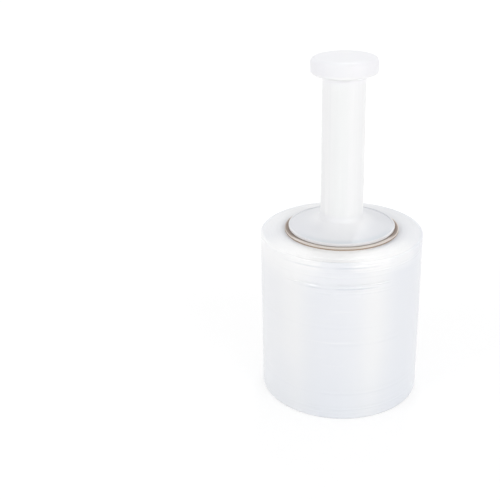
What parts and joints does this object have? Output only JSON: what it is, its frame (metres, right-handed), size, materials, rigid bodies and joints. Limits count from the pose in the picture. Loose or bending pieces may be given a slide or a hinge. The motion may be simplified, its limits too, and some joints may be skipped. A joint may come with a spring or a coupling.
{
  "type": "stretch wrap roll",
  "caption": "Hand roll of clear stretch film wound on a cardboard core, standing on its end, with a moulded plastic handle whose ribbed hub turns in the core.",
  "frame": {"origin": "on the roll's axis, in the plane of the end that it stands on", "axes": "+Z along the roll's axis, up towards the handle's knob; +X to the right and +Y away as the picture's camera sees it"},
  "size_m": [0.12, 0.12, 0.257],
  "materials": {
    "stretch_film": "gloss",
    "core_board": "matte",
    "handle_plastic": "satin"
  },
  "bodies": {
    "roll": {"film_roll": "stretch_film", "core": "core_board"},
    "handle": {"handle": "handle_plastic"}
  },
  "joints": [
    {"name": "handle_spin", "type": "hinge", "parent": "roll", "child": "handle", "pos_m": [0, 0, 0.1304], "axis": [0, 0, 1], "continuous": true}
  ]
}
